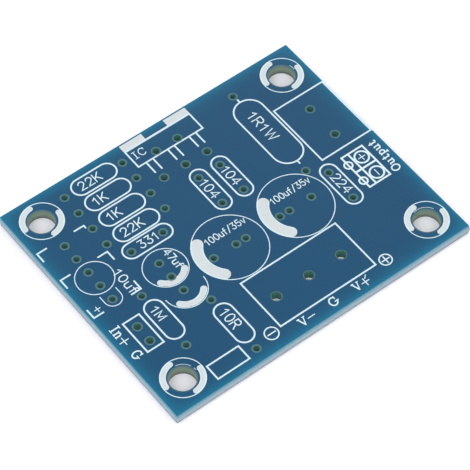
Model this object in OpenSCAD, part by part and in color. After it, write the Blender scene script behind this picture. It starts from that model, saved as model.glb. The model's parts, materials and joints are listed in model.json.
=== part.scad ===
// Bare circuit board of a single-chip audio amplifier, before its components are fitted.
// A drilled glass-epoxy laminate carries one layer of copper foil on its underside, a film of
// blue solder mask on both faces, tinned solder pads, and a white printed legend on top.
// The origin is the middle of the underside, +X along the length, +Z up through the legend.

/* [Board] */
// Length over the scored edges
board_l = 45.7; // [45.2:0.1:60]
// Width over the scored edges
board_w = 37; // [36.6:0.1:50]
// Thickness of the glass-epoxy laminate
laminate_t = 1.5; // [0.8:0.1:3.2]
// Web left between the upper and lower V-score along each edge
score_web = 0.5; // [0.2:0.1:0.7]
// How far each V-score bevels the edge inwards
score_bevel = 0.1; // [0.05:0.05:0.3]

/* [Films] */
// Thickness of the copper foil
copper_t = 0.035; // [0.02:0.005:0.1]
// Thickness of the solder mask, and of the tin that fills its openings
mask_t = 0.03; // [0.02:0.005:0.06]
// Thickness of the printed legend
ink_t = 0.02; // [0.01:0.005:0.05]

/* [Mounting holes] */
// Spacing of the mounting holes along the board
mount_l = 38.1; // [37.4:0.1:41]
// Spacing of the mounting holes across the board
mount_w = 29.2; // [28.4:0.1:32]
// Diameter of the mounting holes
mount_d = 3.5; // [2.2:0.1:3.8]
// Half width of the eight-sided patch kept free of foil round each mounting hole
mount_keep = 3.2; // [2.6:0.1:3.4]

/* [Lead holes] */
// Drill for wire leads
lead_d = 0.8; // [0.6:0.05:1]
// Opening in the upper mask round a wire lead
lead_relief_d = 1.3; // [1.1:0.05:1.4]
// Solder pad of a wire lead
lead_pad_d = 1.6; // [1.3:0.05:1.8]
// Drill for pins
pin_d = 0.95; // [0.7:0.05:1.1]
// Opening in the upper mask round a pin
pin_relief_d = 1.4; // [1.2:0.05:1.6]
// Solder pad of a pin
pin_pad_d = 1.9; // [1.6:0.05:2.2]
// Drill for the supply screw terminal
terminal_d = 1.3; // [1.1:0.05:1.5]
// Opening in the upper mask round a supply terminal pin
terminal_relief_d = 1.55; // [1.55:0.05:1.8]
// Solder pad of a supply terminal pin
terminal_pad_d = 2.8; // [2:0.05:3.2]

/* [Resistors] */
// Middle of the row of four resistors, along the board
resistors_x = -10.1; // [-10.4:0.05:-9.8]
// Distance of the uppermost resistor from the board's edge
resistors_edge = 2.5; // [2.3:0.05:2.6]
// Distance between the four resistors
resistor_row = 3; // [2.9:0.02:3.04]
// Lead spacing of the small resistors
resistor_pitch = 9; // [8.6:0.05:9.4]
// Printed length of a small resistor
resistor_body_l = 6.55; // [5.5:0.05:7]
// Printed width of a small resistor
resistor_body_w = 2.55; // [2:0.05:2.6]
// Middle of the input bleed resistor, along the board
bleed_x = -15.8; // [-16.1:0.05:-15.6]
// Middle of the input bleed resistor, across the board
bleed_y = -6.5; // [-6.9:0.05:-6.3]
// Middle of the resistor that joins signal ground to power ground, along the board
ground_link_x = -9.4; // [-9.8:0.05:-9]
// Distance of that resistor's lower lead from the board's edge
ground_link_edge = 1.8; // [1.7:0.05:2]
// Middle of the output damper resistor, along the board
damper_res_x = 12; // [11.8:0.05:12.15]
// Distance of the output damper resistor's upper lead from the board's edge
damper_edge = 2.6; // [2.45:0.05:2.85]
// Lead spacing of the output damper resistor
damper_res_pitch = 15.1; // [14.8:0.05:15.4]
// Printed length of the output damper resistor
damper_body_l = 11.85; // [11:0.05:12.4]
// Printed width of the output damper resistor
damper_body_w = 4.2; // [3.5:0.05:4.3]

/* [Capacitors] */
// Lead spacing of the disc capacitors
disc_pitch = 4.9; // [4.6:0.05:5.1]
// Printed length of a disc capacitor
disc_body_l = 7.25; // [6.8:0.05:7.4]
// Printed width of a disc capacitor
disc_body_w = 2.35; // [2:0.05:2.45]
// Middle of the input filter capacitor, along the board
filter_x = -10.45; // [-10.6:0.05:-10.2]
// Distance from the lowest resistor of the row down to the input filter capacitor
filter_drop = 2.8; // [2.75:0.01:2.84]
// Distance from the amplifier's front pins down to the middle of the supply bypass capacitors
bypass_drop = 5.15; // [5:0.05:5.3]
// Middle of the output damper capacitor, along the board
damper_cap_x = 14.1; // [14.05:0.01:14.3]
// Middle of the output damper capacitor, across the board
damper_cap_y = -3.75; // [-4.2:0.05:-3.7]
// Middle hole of the input capacitor's column of five, across the board
input_cap_y = 4.85; // [4.7:0.05:5]
// Printed diameter of the input capacitor as a can
input_can_d = 4.95; // [4.4:0.05:5.1]
// Half width of the input capacitor's printed corner marks
input_mark_x = 3.55; // [3.2:0.05:3.6]
// Middle hole of the feedback capacitor's column of three, along the board
gain_cap_x = -11.2; // [-11.4:0.05:-11.1]
// Middle hole of the feedback capacitor's column of three, across the board
gain_cap_y = -1.9; // [-2.1:0.05:-1.85]
// Printed diameter of the feedback capacitor
gain_can_d = 5.8; // [5.2:0.05:5.85]
// Short lead spacing of the can capacitors
short_pitch = 2.5; // [2.44:0.01:2.52]
// Middle of the two reservoir capacitors, across the board
cans_y = -2.9; // [-2.95:0.05:-2.7]
// Distance between the two reservoir capacitors
can_spacing = 10.4; // [10.2:0.05:10.5]
// Wide lead spacing of a reservoir capacitor
can_pitch = 5; // [4.9:0.02:5.1]
// Narrow lead spacing of a reservoir capacitor
can_pitch_narrow = 3.5; // [3.3:0.05:3.55]
// Printed diameter of a reservoir capacitor
can_d = 9.8; // [9:0.05:9.85]

/* [Amplifier and terminals] */
// Middle of the amplifier's pins, along the board
amp_x = 0.6; // [0.4:0.05:0.8]
// Distance of the amplifier's front pins from the board's edge
amp_edge = 7.6; // [7.5:0.02:7.7]
// Distance between neighbouring amplifier pins
amp_pitch = 1.7; // [1.65:0.01:1.75]
// Distance from the front pin row to the back one
amp_row = 4; // [3.8:0.05:4.1]
// Printed width of the amplifier's body
amp_w = 10.2; // [9.6:0.05:10.6]
// Printed depth of the amplifier's body in front of its metal tab
amp_depth = 2.9; // [2.7:0.02:3]
// Printed thickness of the metal tab
tab_t = 1.3; // [0.8:0.05:1.4]
// Middle of the supply terminal and of the reservoir capacitors, along the board
supply_x = 2.3; // [2.2:0.02:2.4]
// Distance of the supply terminal's holes from the board's edge
supply_edge = 6.3; // [6:0.05:6.4]
// Distance of the output terminal's holes from the board's edge
output_edge = 4.15; // [3.9:0.05:4.3]
// Middle of the output terminal, across the board
output_y = 5.55; // [5.4:0.05:5.65]
// Hole spacing of the screw terminals
terminal_pitch = 5.08; // [5:0.02:5.1]
// Printed depth of a screw terminal
terminal_depth = 7.95; // [7:0.05:8]
// Distance of the input header and input capacitor from the board's edge
left_edge = 3.85; // [3.75:0.05:4]
// Middle of the input header, across the board
input_y = -6.55; // [-6.7:0.05:-6.4]
// Hole spacing of the input header
header_pitch = 2.54; // [2.5:0.02:2.6]

/* [Legend] */
// Width of the printed lines
ink_line = 0.22; // [0.15:0.01:0.28]
// Width of the fine printed lines of round outlines
ink_fine = 0.12; // [0.1:0.01:0.2]
// Shift of the print against the drilled holes, along the board
print_shift_x = 0.12; // [-0.2:0.01:0.2]
// Shift of the print against the drilled holes, across the board
print_shift_y = 0.08; // [-0.2:0.01:0.15]
// Diameter of the printed ring round a mounting hole
mount_ring_d = 5.64; // [5.4:0.02:5.9]
// Width of the two printed quarter bands in that ring
mount_band = 0.75; // [0.4:0.05:0.8]
// Width of the printed polarity band of a reservoir capacitor
can_band = 1.55; // [1:0.05:1.6]
// Width of the printed polarity band of the feedback capacitor
gain_band = 0.86; // [0.6:0.02:0.9]
// Middle of the empty printed frame, along the board
title_x = -13.45; // [-13.6:0.05:-13.3]
// Distance of the middle of that frame from the board's edge
title_edge = 2.2; // [2:0.05:2.4]

/* [Foil] */
// Gap between neighbouring pieces of foil
foil_gap = 0.4; // [0.25:0.05:0.45]
// Distance from the foil to the edge of the face
foil_margin = 0.9; // [0.7:0.05:1]
// Width kept for the signal ground where it passes between the input and the feedback capacitor
ground_strip = 1.4; // [1.1:0.05:1.5]
// Length of the bevels at the corners of the foil, along the board
foil_bevel = 2.2; // [1.8:0.1:2.4]

/* [Hidden] */

// Smoothness of drilled holes and printed rings
$fn = 72;
// Step of the rounded ends of printed bands and bodies, in degrees
arc_step = 10;
// How far a cut runs past the solid that it cuts
past = 1;

// Levels from the underside up
foil_z = mask_t;
laminate_z = foil_z + copper_t;
mask_top_z = laminate_z + laminate_t;
ink_z = mask_top_z + mask_t;

// Flat faces inside the bevelled edges
face_l = board_l - 2 * score_bevel;
face_w = board_w - 2 * score_bevel;
score_depth = (laminate_t - score_web) / 2;

// Middles of the footprints
mount_holes = [for (x = [-1, 1], y = [-1, 1]) [x * mount_l / 2, y * mount_w / 2]];
function resistor_at(i) = [resistors_x, face_w / 2 - resistors_edge - i * resistor_row];
bleed_at = [bleed_x, bleed_y];
ground_link_at = [ground_link_x, ground_link_edge + resistor_pitch / 2 - face_w / 2];
damper_res_at = [damper_res_x, face_w / 2 - damper_edge - damper_res_pitch / 2];
filter_at = [filter_x, resistor_at(3).y - filter_drop];
amp_at = [amp_x, face_w / 2 - amp_edge];
neg_bypass_at = amp_at - [0, bypass_drop];
pos_bypass_at = amp_at + [2 * amp_pitch, -bypass_drop];
damper_cap_at = [damper_cap_x, damper_cap_y];
input_cap_at = [left_edge - face_l / 2, input_cap_y];
gain_cap_at = [gain_cap_x, gain_cap_y];
neg_can_at = [supply_x - can_spacing / 2, cans_y];
pos_can_at = [supply_x + can_spacing / 2, cans_y];
supply_at = [supply_x, supply_edge - face_w / 2];
output_at = [face_l / 2 - output_edge, output_y];
input_at = [left_edge - face_l / 2, input_y];

// Holes of each footprint
function row_of_two(at, pitch) = [at - [pitch / 2, 0], at + [pitch / 2, 0]];
function column_of_two(at, pitch) = [at + [0, pitch / 2], at - [0, pitch / 2]];

feedback_res = row_of_two(resistor_at(0), resistor_pitch);
gain_res = row_of_two(resistor_at(1), resistor_pitch);
series_res = row_of_two(resistor_at(2), resistor_pitch);
bias_res = row_of_two(resistor_at(3), resistor_pitch);
bleed_res = column_of_two(bleed_at, resistor_pitch);
ground_link = column_of_two(ground_link_at, resistor_pitch);
damper_res = column_of_two(damper_res_at, damper_res_pitch);
filter_cap = row_of_two(filter_at, disc_pitch);
neg_bypass = column_of_two(neg_bypass_at, disc_pitch);
pos_bypass = column_of_two(pos_bypass_at, disc_pitch);
damper_cap = column_of_two(damper_cap_at, disc_pitch);
input_cap = [for (i = [2:-1:-2]) input_cap_at + [0, i * short_pitch]];
gain_cap = [for (i = [1:-1:-1]) gain_cap_at + [0, i * short_pitch]];
neg_can = [for (x = [0, can_pitch_narrow, can_pitch]) neg_can_at + [x - can_pitch / 2, 0]];
pos_can = [for (x = [can_pitch, can_pitch_narrow, 0]) pos_can_at + [can_pitch / 2 - x, 0]];
amp_pins = [for (i = [0:4]) amp_at + [(i - 2) * amp_pitch, i % 2 * amp_row]];
supply = [for (i = [-1:1]) supply_at + [i * terminal_pitch, 0]];
output = column_of_two(output_at, terminal_pitch);
input = column_of_two(input_at, header_pitch);

lead_holes = concat(
    feedback_res, gain_res, series_res, bias_res, bleed_res, ground_link, damper_res,
    filter_cap, neg_bypass, pos_bypass, damper_cap, input_cap, gain_cap, neg_can, pos_can
);
pin_holes = concat(amp_pins, output, input);

// Dividing lines between the pieces of foil, halfway between the pads that they part
function mid(a, b) = (a + b) / 2;

edge_x = face_l / 2 - foil_margin + foil_gap / 2;
edge_y = face_w / 2 - foil_margin + foil_gap / 2;
keep_x = mount_l / 2 - mount_keep;
keep_y = mount_w / 2 - mount_keep;
keep_bevel = mount_keep * (2 - sqrt(2));
pad_room = (lead_pad_d + foil_gap) / 2;

x_feedback_left = min(-keep_x, feedback_res[0].x - pad_room);
y_gain_top = gain_res[1].y + pad_room;
y_feedback_low = feedback_res[1].y - pad_room;
y_gain_series = mid(gain_res[0].y, series_res[0].y);
y_series_bias = mid(series_res[0].y, bias_res[0].y);
x_feedback = mid(resistors_x, feedback_res[1].x);
x_resistor_amp = mid(feedback_res[1].x, amp_pins[0].x);
x_cap_bias = mid(input_cap_at.x, bias_res[0].x);
y_input_can = mid(input_cap[2].y, input_cap[3].y);
y_header = mid(input[0].y, input[1].y);
x_filter_left = filter_cap[0].x + pad_room;
x_filter_right = mid(gain_cap_at.x, filter_cap[1].x);
y_filter_low = mid(filter_at.y, gain_cap[0].y);
x_strip_left = mid(bleed_x, gain_cap_x) - ground_strip / 2;
x_strip_right = x_strip_left + ground_strip;
y_strip = y_input_can - x_strip_left + x_cap_bias;
y_gain_can = mid(gain_cap[0].y, gain_cap[1].y);
x_front_13 = amp_pins[1].x;
x_front_35 = amp_pins[3].x;
x_back_24 = amp_pins[2].x;
y_amp = mid(amp_pins[0].y, amp_pins[1].y);
y_over_amp = amp_pins[1].y + pin_pad_d / 2 + foil_gap;
y_bypass = mid(neg_bypass[0].y, neg_bypass[1].y);
x_filter_amp = x_resistor_amp - y_bypass + y_filter_low;
x_neg_can = mid(neg_can[0].x, neg_can[1].x);
x_pos_can = mid(pos_can[1].x, pos_can[2].x);
x_bypass_left = mid(x_neg_can, neg_bypass_at.x);
y_bypass_left = mid(y_bypass, cans_y);
y_neg_can = y_bypass_left - x_bypass_left + x_neg_can;
x_neg_ground = mid(supply[0].x, supply[1].x);
x_pos_ground = mid(supply[1].x, supply[2].x);
y_can_supply = mid(cans_y, supply_at.y);
y_neg_ground = y_can_supply - x_neg_ground + x_neg_can;
y_pos_ground = y_can_supply - x_pos_can + x_pos_ground;
y_supply_low = mid(supply_at.y, ground_link[1].y);
x_link = mid(ground_link_at.x, neg_can[0].x);
y_link = y_gain_can - x_link + x_filter_right;
x_link_left = ground_link[1].x - 2 * pad_room;
x_damper = mid(x_pos_can, damper_res_x);
x_damper_low = mid(pos_can[2].x, damper_cap_x);
x_damper_right = mid(damper_cap_x, output_at.x);
y_damper = mid(damper_res[1].y, cans_y);
y_damper_cap = mid(damper_cap[0].y, damper_cap[1].y);
y_output = mid(output[0].y, output[1].y);
y_damper_top = mid(damper_res[1].y, y_output);
x_output = x_damper_right - foil_bevel + y_output - y_damper_top;

// Outlines of the pieces of foil on those dividing lines, counter-clockwise
input_foil = [
    [-edge_x, y_header], [x_strip_left - foil_bevel, y_header], [x_strip_left, y_header + foil_bevel],
    [x_strip_left, y_strip], [x_cap_bias, y_input_can], [-edge_x, y_input_can]
];
coupling_foil = [
    [-edge_x, y_input_can], [x_cap_bias, y_input_can], [x_cap_bias, y_series_bias],
    [x_filter_left, y_series_bias], [x_filter_left, y_gain_series], [x_feedback_left, y_gain_series],
    [-keep_x - keep_bevel, keep_y], [-edge_x, keep_y]
];
amplifier_input_foil = [
    [x_filter_right, y_filter_low], [x_filter_amp, y_filter_low], [x_resistor_amp, y_bypass],
    [x_resistor_amp, y_series_bias], [x_front_13, y_series_bias], [x_front_13, y_amp],
    [x_resistor_amp, y_amp], [x_resistor_amp, y_gain_series], [x_filter_right, y_gain_series]
];
inverting_input_foil = [
    [x_feedback_left, y_gain_series], [x_filter_left, y_gain_series], [x_filter_left, y_gain_top],
    [x_resistor_amp, y_gain_top], [x_resistor_amp, y_amp], [x_back_24, y_amp], [x_back_24, y_over_amp],
    [x_resistor_amp, y_over_amp], [x_resistor_amp, y_feedback_low], [x_feedback, y_feedback_low],
    [x_feedback, edge_y], [x_feedback_left, edge_y]
];
gain_set_foil = [
    [x_strip_right, y_gain_can], [x_filter_right, y_gain_can], [x_filter_right, y_gain_series],
    [x_resistor_amp, y_gain_series], [x_resistor_amp, y_gain_top], [x_filter_left, y_gain_top],
    [x_filter_left, y_filter_low], [x_strip_right, y_filter_low]
];
signal_ground_foil = [
    [-edge_x, -keep_y], [-keep_x - keep_bevel, -keep_y], [-keep_x, -keep_y - keep_bevel], [-keep_x, -edge_y],
    [x_link_left, -edge_y], [x_link_left, y_supply_low], [x_link, y_supply_low], [x_link, y_link],
    [x_filter_right, y_gain_can], [x_strip_right, y_gain_can], [x_strip_right, y_filter_low],
    [x_filter_left, y_filter_low], [x_filter_left, y_series_bias], [x_cap_bias, y_series_bias],
    [x_cap_bias, y_input_can], [x_strip_left, y_strip], [x_strip_left, y_header + foil_bevel],
    [x_strip_left - foil_bevel, y_header], [-edge_x, y_header]
];
negative_supply_foil = [
    [x_link, y_supply_low], [x_neg_ground, y_supply_low], [x_neg_ground, y_neg_ground],
    [x_neg_can, y_can_supply], [x_neg_can, y_neg_can], [x_bypass_left, y_bypass_left],
    [x_bypass_left, y_bypass], [x_front_35, y_bypass], [x_front_35, y_amp], [x_front_13, y_amp],
    [x_front_13, y_series_bias], [x_resistor_amp, y_series_bias], [x_resistor_amp, y_bypass],
    [x_filter_amp, y_filter_low], [x_filter_right, y_filter_low], [x_filter_right, y_gain_can], [x_link, y_link]
];
positive_supply_foil = [
    [x_pos_ground, y_supply_low], [x_damper_low - foil_bevel, y_supply_low],
    [x_damper_low, y_supply_low + foil_bevel], [x_damper_low, y_damper], [x_damper, y_damper],
    [x_damper, y_amp - foil_bevel], [x_damper - foil_bevel, y_amp], [x_front_35, y_amp], [x_front_35, y_bypass],
    [x_pos_can - foil_bevel, y_bypass], [x_pos_can, y_bypass - foil_bevel], [x_pos_can, y_can_supply],
    [x_pos_ground, y_pos_ground]
];
power_ground_foil = [
    [x_link_left, -edge_y], [keep_x, -edge_y], [keep_x, -keep_y - keep_bevel], [keep_x + keep_bevel, -keep_y],
    [edge_x, -keep_y], [edge_x, y_output], [x_output, y_output], [x_damper_right - foil_bevel, y_damper_top],
    [x_damper_right, y_damper_top - foil_bevel], [x_damper_right, y_damper_cap], [x_damper_low, y_damper_cap],
    [x_damper_low, y_supply_low + foil_bevel], [x_damper_low - foil_bevel, y_supply_low],
    [x_pos_ground, y_supply_low], [x_pos_ground, y_pos_ground], [x_pos_can, y_can_supply],
    [x_pos_can, y_bypass - foil_bevel], [x_pos_can - foil_bevel, y_bypass], [x_bypass_left, y_bypass],
    [x_bypass_left, y_bypass_left], [x_neg_can, y_neg_can], [x_neg_can, y_can_supply],
    [x_neg_ground, y_neg_ground], [x_neg_ground, y_supply_low], [x_link_left, y_supply_low]
];
output_foil = [
    [x_damper, y_damper_top], [x_damper_right - foil_bevel, y_damper_top], [x_output, y_output],
    [edge_x, y_output], [edge_x, keep_y], [keep_x + keep_bevel, keep_y], [keep_x, keep_y + keep_bevel],
    [keep_x, edge_y], [x_feedback, edge_y], [x_feedback, y_feedback_low], [x_resistor_amp, y_feedback_low],
    [x_resistor_amp, y_over_amp], [x_back_24, y_over_amp], [x_back_24, y_amp], [x_damper - foil_bevel, y_amp],
    [x_damper, y_amp - foil_bevel]
];
damper_foil = [
    [x_damper_low, y_damper_cap], [x_damper_right, y_damper_cap], [x_damper_right, y_damper_top - foil_bevel],
    [x_damper_right - foil_bevel, y_damper_top], [x_damper, y_damper_top], [x_damper, y_damper],
    [x_damper_low, y_damper]
];
foils = [
    input_foil, coupling_foil, amplifier_input_foil, inverting_input_foil, gain_set_foil, signal_ground_foil,
    power_ground_foil, negative_supply_foil, positive_supply_foil, output_foil, damper_foil
];

// Moves every side of a counter-clockwise outline inwards by d
function unit(v) = v / norm(v);
function left_of(v) = [-v.y, v.x];
function inset(points, d) = [
    for (i = [0:len(points) - 1])
        let (
            n = len(points),
            a = left_of(unit(points[i] - points[(i + n - 1) % n])),
            b = left_of(unit(points[(i + 1) % n] - points[i]))
        )
        points[i] + (a + b) * d / (1 + a * b)
];

// Points along an arc, ends included
function arc(at, r, from, to) =
    let (steps = ceil(abs(to - from) / arc_step))
    [for (i = [0:steps]) let (a = from + (to - from) * i / steps) at + r * [cos(a), sin(a)]];

// Outline with half-round ends, l long and w wide over all
function pill(l, w) = concat(
    arc([(l - w) / 2, 0], w / 2, -90, 90),
    arc([(w - l) / 2, 0], w / 2, 90, 270)
);

// Band of width w along an arc of radius r, with half-round ends
function band(r, w, from, to) = concat(
    arc([0, 0], r + w / 2, from, to),
    arc(r * [cos(to), sin(to)], w / 2, to + arc_step, to + 180 - arc_step),
    arc([0, 0], r - w / 2, to, from),
    arc(r * [cos(from), sin(from)], w / 2, from + 180 + arc_step, from + 360 - arc_step)
);

module at_each(places) {
    for (p = places) translate(p) children();
}

module round_each(lead, pin, terminal) {
    at_each(lead_holes) circle(d = lead);
    at_each(pin_holes) circle(d = pin);
    at_each(supply) circle(d = terminal);
}

module drills() {
    round_each(lead_d, pin_d, terminal_d);
}

module reliefs() {
    round_each(lead_relief_d, pin_relief_d, terminal_relief_d);
}

module pads() {
    round_each(lead_pad_d, pin_pad_d, terminal_pad_d);
}

module mount_drills() {
    at_each(mount_holes) circle(d = mount_d);
}

module face() {
    square([face_l, face_w], center = true);
}

// Wedge that a V-score takes off one edge: along X, with the edge at y = 0 and the face at z = 0
module score_wedge(l) {
    rotate([90, 0, 90])
        linear_extrude(l, center = true)
            polygon([[-score_bevel, 0], [0, -score_depth], [past, -score_depth], [past, past], [-score_bevel, past]]);
}

module score_wedges() {
    for (side = [0, 180]) rotate(side) {
        translate([0, board_w / 2, 0]) score_wedge(board_l + 2 * past);
        rotate(90) translate([0, board_l / 2, 0]) score_wedge(board_w + 2 * past);
    }
}

module laminate() {
    color("#c9cfae")
        difference() {
            translate([0, 0, laminate_z])
                linear_extrude(laminate_t)
                    difference() {
                        square([board_l, board_w], center = true);
                        mount_drills();
                        drills();
                    }
            translate([0, 0, mask_top_z]) score_wedges();
            translate([0, 0, laminate_z]) mirror([0, 0, 1]) score_wedges();
        }
}

module solder_mask_top() {
    color("#235e8e")
        translate([0, 0, mask_top_z])
            linear_extrude(mask_t)
                difference() {
                    face();
                    mount_drills();
                    reliefs();
                }
}

// The mask underneath flows between the pieces of foil and leaves their pads open
module solder_mask_bottom() {
    color("#235e8e")
        difference() {
            linear_extrude(laminate_z)
                difference() {
                    face();
                    mount_drills();
                }
            translate([0, 0, foil_z])
                linear_extrude(copper_t + past)
                    for (outline = foils) polygon(inset(outline, foil_gap / 2));
            translate([0, 0, -past])
                linear_extrude(past + foil_z + copper_t / 2)
                    pads();
        }
}

module pad_tinning() {
    color("#c6c9c8")
        linear_extrude(mask_t)
            difference() {
                pads();
                drills();
            }
}

module foil(outline) {
    color("#b87346")
        translate([0, 0, foil_z])
            linear_extrude(copper_t)
                difference() {
                    polygon(inset(outline, foil_gap / 2));
                    drills();
                    mount_drills();
                }
}

module foil_input() { foil(input_foil); }
module foil_coupling() { foil(coupling_foil); }
module foil_amplifier_input() { foil(amplifier_input_foil); }
module foil_inverting_input() { foil(inverting_input_foil); }
module foil_gain_set() { foil(gain_set_foil); }
module foil_signal_ground() { foil(signal_ground_foil); }
module foil_power_ground() { foil(power_ground_foil); }
module foil_negative_supply() { foil(negative_supply_foil); }
module foil_positive_supply() { foil(positive_supply_foil); }
module foil_output() { foil(output_foil); }
module foil_damper() { foil(damper_foil); }

// Printed outline with half-round ends, measured along the middle of its line
module body_outline(l, w) {
    difference() {
        polygon(pill(l + ink_line, w + ink_line));
        polygon(pill(l - ink_line, w - ink_line));
    }
}

module ring(d) {
    difference() {
        circle(d = d + ink_fine);
        circle(d = d - ink_fine);
    }
}

module box_outline(l, w) {
    difference() {
        square([l + ink_line, w + ink_line], center = true);
        square([l - ink_line, w - ink_line], center = true);
    }
}

// Printed corner, with legs of the given lengths towards -X and -Y
module corner_mark(leg_x, leg_y) {
    translate([-leg_x, -ink_line / 2]) square([leg_x + ink_line / 2, ink_line]);
    translate([-ink_line / 2, -leg_y]) square([ink_line, leg_y + ink_line / 2]);
}

module mount_marks() {
    at_each(mount_holes) {
        ring(mount_ring_d);
        for (turn = [0, 180])
            rotate(turn) polygon(band((mount_ring_d - mount_band) / 2, mount_band, 93, 177));
    }
}

module resistor_marks() {
    rise = 0.2;
    tick = 0.6;
    for (i = [0:3]) translate(resistor_at(i)) body_outline(resistor_body_l, resistor_body_w);
    at_each([bleed_at, ground_link_at]) rotate(90) body_outline(resistor_body_l, resistor_body_w);
    translate(damper_res_at + [0, rise]) rotate(90) {
        body_outline(damper_body_l, damper_body_w);
        for (side = [-1, 1])
            translate([side * (damper_body_l + tick) / 2, 0]) square([tick, ink_line], center = true);
    }
}

module disc_marks() {
    translate(filter_at) body_outline(disc_body_l, disc_body_w);
    at_each([neg_bypass_at, pos_bypass_at, damper_cap_at]) rotate(90) body_outline(disc_body_l, disc_body_w);
}

module reservoir_marks() {
    at_each([neg_can_at, pos_can_at]) {
        ring(can_d);
        polygon(band((can_d - can_band) / 2, can_band, 137, 223));
    }
}

// A full circle for the short lead spacing, and a half circle below it for the wide one
module gain_cap_marks() {
    hairline = 0.06;
    nudge = [0.1, 0.15];
    polarity_r = (gain_can_d - ink_fine - gain_band) / 2 - hairline;
    translate(mid(gain_cap[0], gain_cap[1]) + nudge) {
        ring(gain_can_d);
        polygon(band(polarity_r, gain_band, 218, 322));
    }
    translate([gain_cap[2].x + nudge.x, gain_cap[2].y]) {
        polygon(band(gain_can_d / 2, ink_fine, 180, 360));
        polygon(band(polarity_r, gain_band, 218, 322));
    }
}

// A can between the third and fourth holes, a loop round the fifth, and the corners of two film bodies
module input_cap_marks() {
    loop_r = 1.2;
    leg = 1.5;
    end_gap = 1;
    translate(mid(input_cap[2], input_cap[3])) ring(input_can_d);
    translate(input_cap[4]) {
        polygon(band(loop_r, ink_fine, 180, 360));
        for (side = [-1, 1])
            translate([side * loop_r - ink_fine / 2, 0]) square([ink_fine, loop_r - ink_fine]);
    }
    translate(input_cap[0] + [input_mark_x, end_gap]) corner_mark(leg, leg / 3);
    translate(input_cap[0] + [-input_mark_x, end_gap]) mirror([1, 0]) corner_mark(leg, leg);
    translate(input_cap[2] + [input_mark_x, end_gap]) corner_mark(leg, leg);
    translate(input_cap[2] + [-input_mark_x, end_gap]) mirror([1, 0]) corner_mark(leg, leg);
    translate(input_cap[4] + [input_mark_x, -end_gap]) mirror([0, 1]) corner_mark(leg, leg);
    translate(input_cap[4] + [-input_mark_x, -end_gap]) rotate(180) corner_mark(leg, leg);
}

// The amplifier stands with its metal tab along the board's edge: body, tab with its hole, front pins
module amplifier_marks() {
    tab_hole = 3.5;
    tab_floor = 0.3;
    pin_gap = 1.05;
    pin_l = 2.05;
    pin_cover = 0.8;
    translate(amp_at + [0, amp_row - pin_cover]) {
        translate([0, amp_depth / 2]) box_outline(amp_w, amp_depth);
        difference() {
            translate([-(amp_w + ink_line) / 2, amp_depth - ink_line / 2]) square([amp_w + ink_line, tab_t]);
            translate([-tab_hole / 2, amp_depth - ink_line / 2 + tab_floor]) square([tab_hole, tab_t]);
        }
        for (pin = [-2, 0, 2], side = [-1, 1])
            translate([pin * amp_pitch + side * pin_gap / 2 - ink_line / 2, -pin_l]) square([ink_line, pin_l]);
    }
}

// Outlines of the supply terminal, the output terminal at the board's edge, and the input header
module terminal_marks() {
    nudge = 0.1;
    edge_gap = 0.6 * ink_line + print_shift_x;
    translate(supply_at + [-nudge, nudge]) box_outline(3 * terminal_pitch - 1.5 * ink_line, terminal_depth);
    translate([face_l / 2 - terminal_depth / 2 - edge_gap, output_y + nudge / 2])
        box_outline(terminal_depth, 2 * terminal_pitch - ink_line);
    translate(input_at - [nudge, 0]) box_outline(header_pitch - nudge, 2 * header_pitch);
}

// Empty printed frame near the lower edge
module title_frame() {
    frame_l = 4.8;
    frame_w = 2.25;
    translate([title_x, title_edge - face_w / 2]) box_outline(frame_l, frame_w);
}

module legend_print() {
    color("#f2f2ee")
        translate([0, 0, ink_z])
            linear_extrude(ink_t)
                difference() {
                    intersection() {
                        translate([print_shift_x, print_shift_y]) {
                            mount_marks();
                            resistor_marks();
                            disc_marks();
                            reservoir_marks();
                            gain_cap_marks();
                            input_cap_marks();
                            amplifier_marks();
                            terminal_marks();
                            title_frame();
                        }
                        face();
                    }
                    reliefs();
                    mount_drills();
                }
}

laminate();
solder_mask_top();
solder_mask_bottom();
pad_tinning();
legend_print();
foil_input();
foil_coupling();
foil_amplifier_input();
foil_inverting_input();
foil_gain_set();
foil_signal_ground();
foil_power_ground();
foil_negative_supply();
foil_positive_supply();
foil_output();
foil_damper();
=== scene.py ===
# %% [markdown]
# This lesson dresses the bare circuit board of an audio amplifier: a drilled sheet of glass-epoxy with blue
# solder mask, a white printed legend, copper foil and tinned pads underneath.
# Every solid comes packed in one shared frame, in metres, with the middle of the underside at the origin.
# The board could be modelled again by eye, but loading the solids keeps each hole where the drill put it.

# %% Load the board
import json
import math
import random

import bmesh
import bpy
from mathutils import Matrix, Vector


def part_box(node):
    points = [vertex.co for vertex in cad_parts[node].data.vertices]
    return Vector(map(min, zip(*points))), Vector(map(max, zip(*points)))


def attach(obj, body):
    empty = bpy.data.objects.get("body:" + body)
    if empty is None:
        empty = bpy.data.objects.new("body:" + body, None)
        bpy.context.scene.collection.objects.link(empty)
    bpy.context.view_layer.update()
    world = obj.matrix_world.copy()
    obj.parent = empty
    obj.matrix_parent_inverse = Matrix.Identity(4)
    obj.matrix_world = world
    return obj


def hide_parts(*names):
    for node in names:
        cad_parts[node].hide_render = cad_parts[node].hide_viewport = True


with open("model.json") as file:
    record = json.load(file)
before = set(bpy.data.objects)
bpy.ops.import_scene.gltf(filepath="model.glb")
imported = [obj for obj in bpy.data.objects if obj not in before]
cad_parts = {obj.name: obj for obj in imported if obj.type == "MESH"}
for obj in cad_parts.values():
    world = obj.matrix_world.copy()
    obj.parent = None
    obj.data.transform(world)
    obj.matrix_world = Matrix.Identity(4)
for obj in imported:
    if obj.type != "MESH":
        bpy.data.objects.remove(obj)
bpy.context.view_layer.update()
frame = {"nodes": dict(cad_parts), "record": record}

MM = 0.001
nodes = frame["nodes"]
board_low, board_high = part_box("laminate")
LENGTH, WIDTH = ((board_high - board_low) / MM).xy
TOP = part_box("solder_mask_top")[1].z / MM
INK_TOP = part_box("legend_print")[1].z / MM
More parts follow.
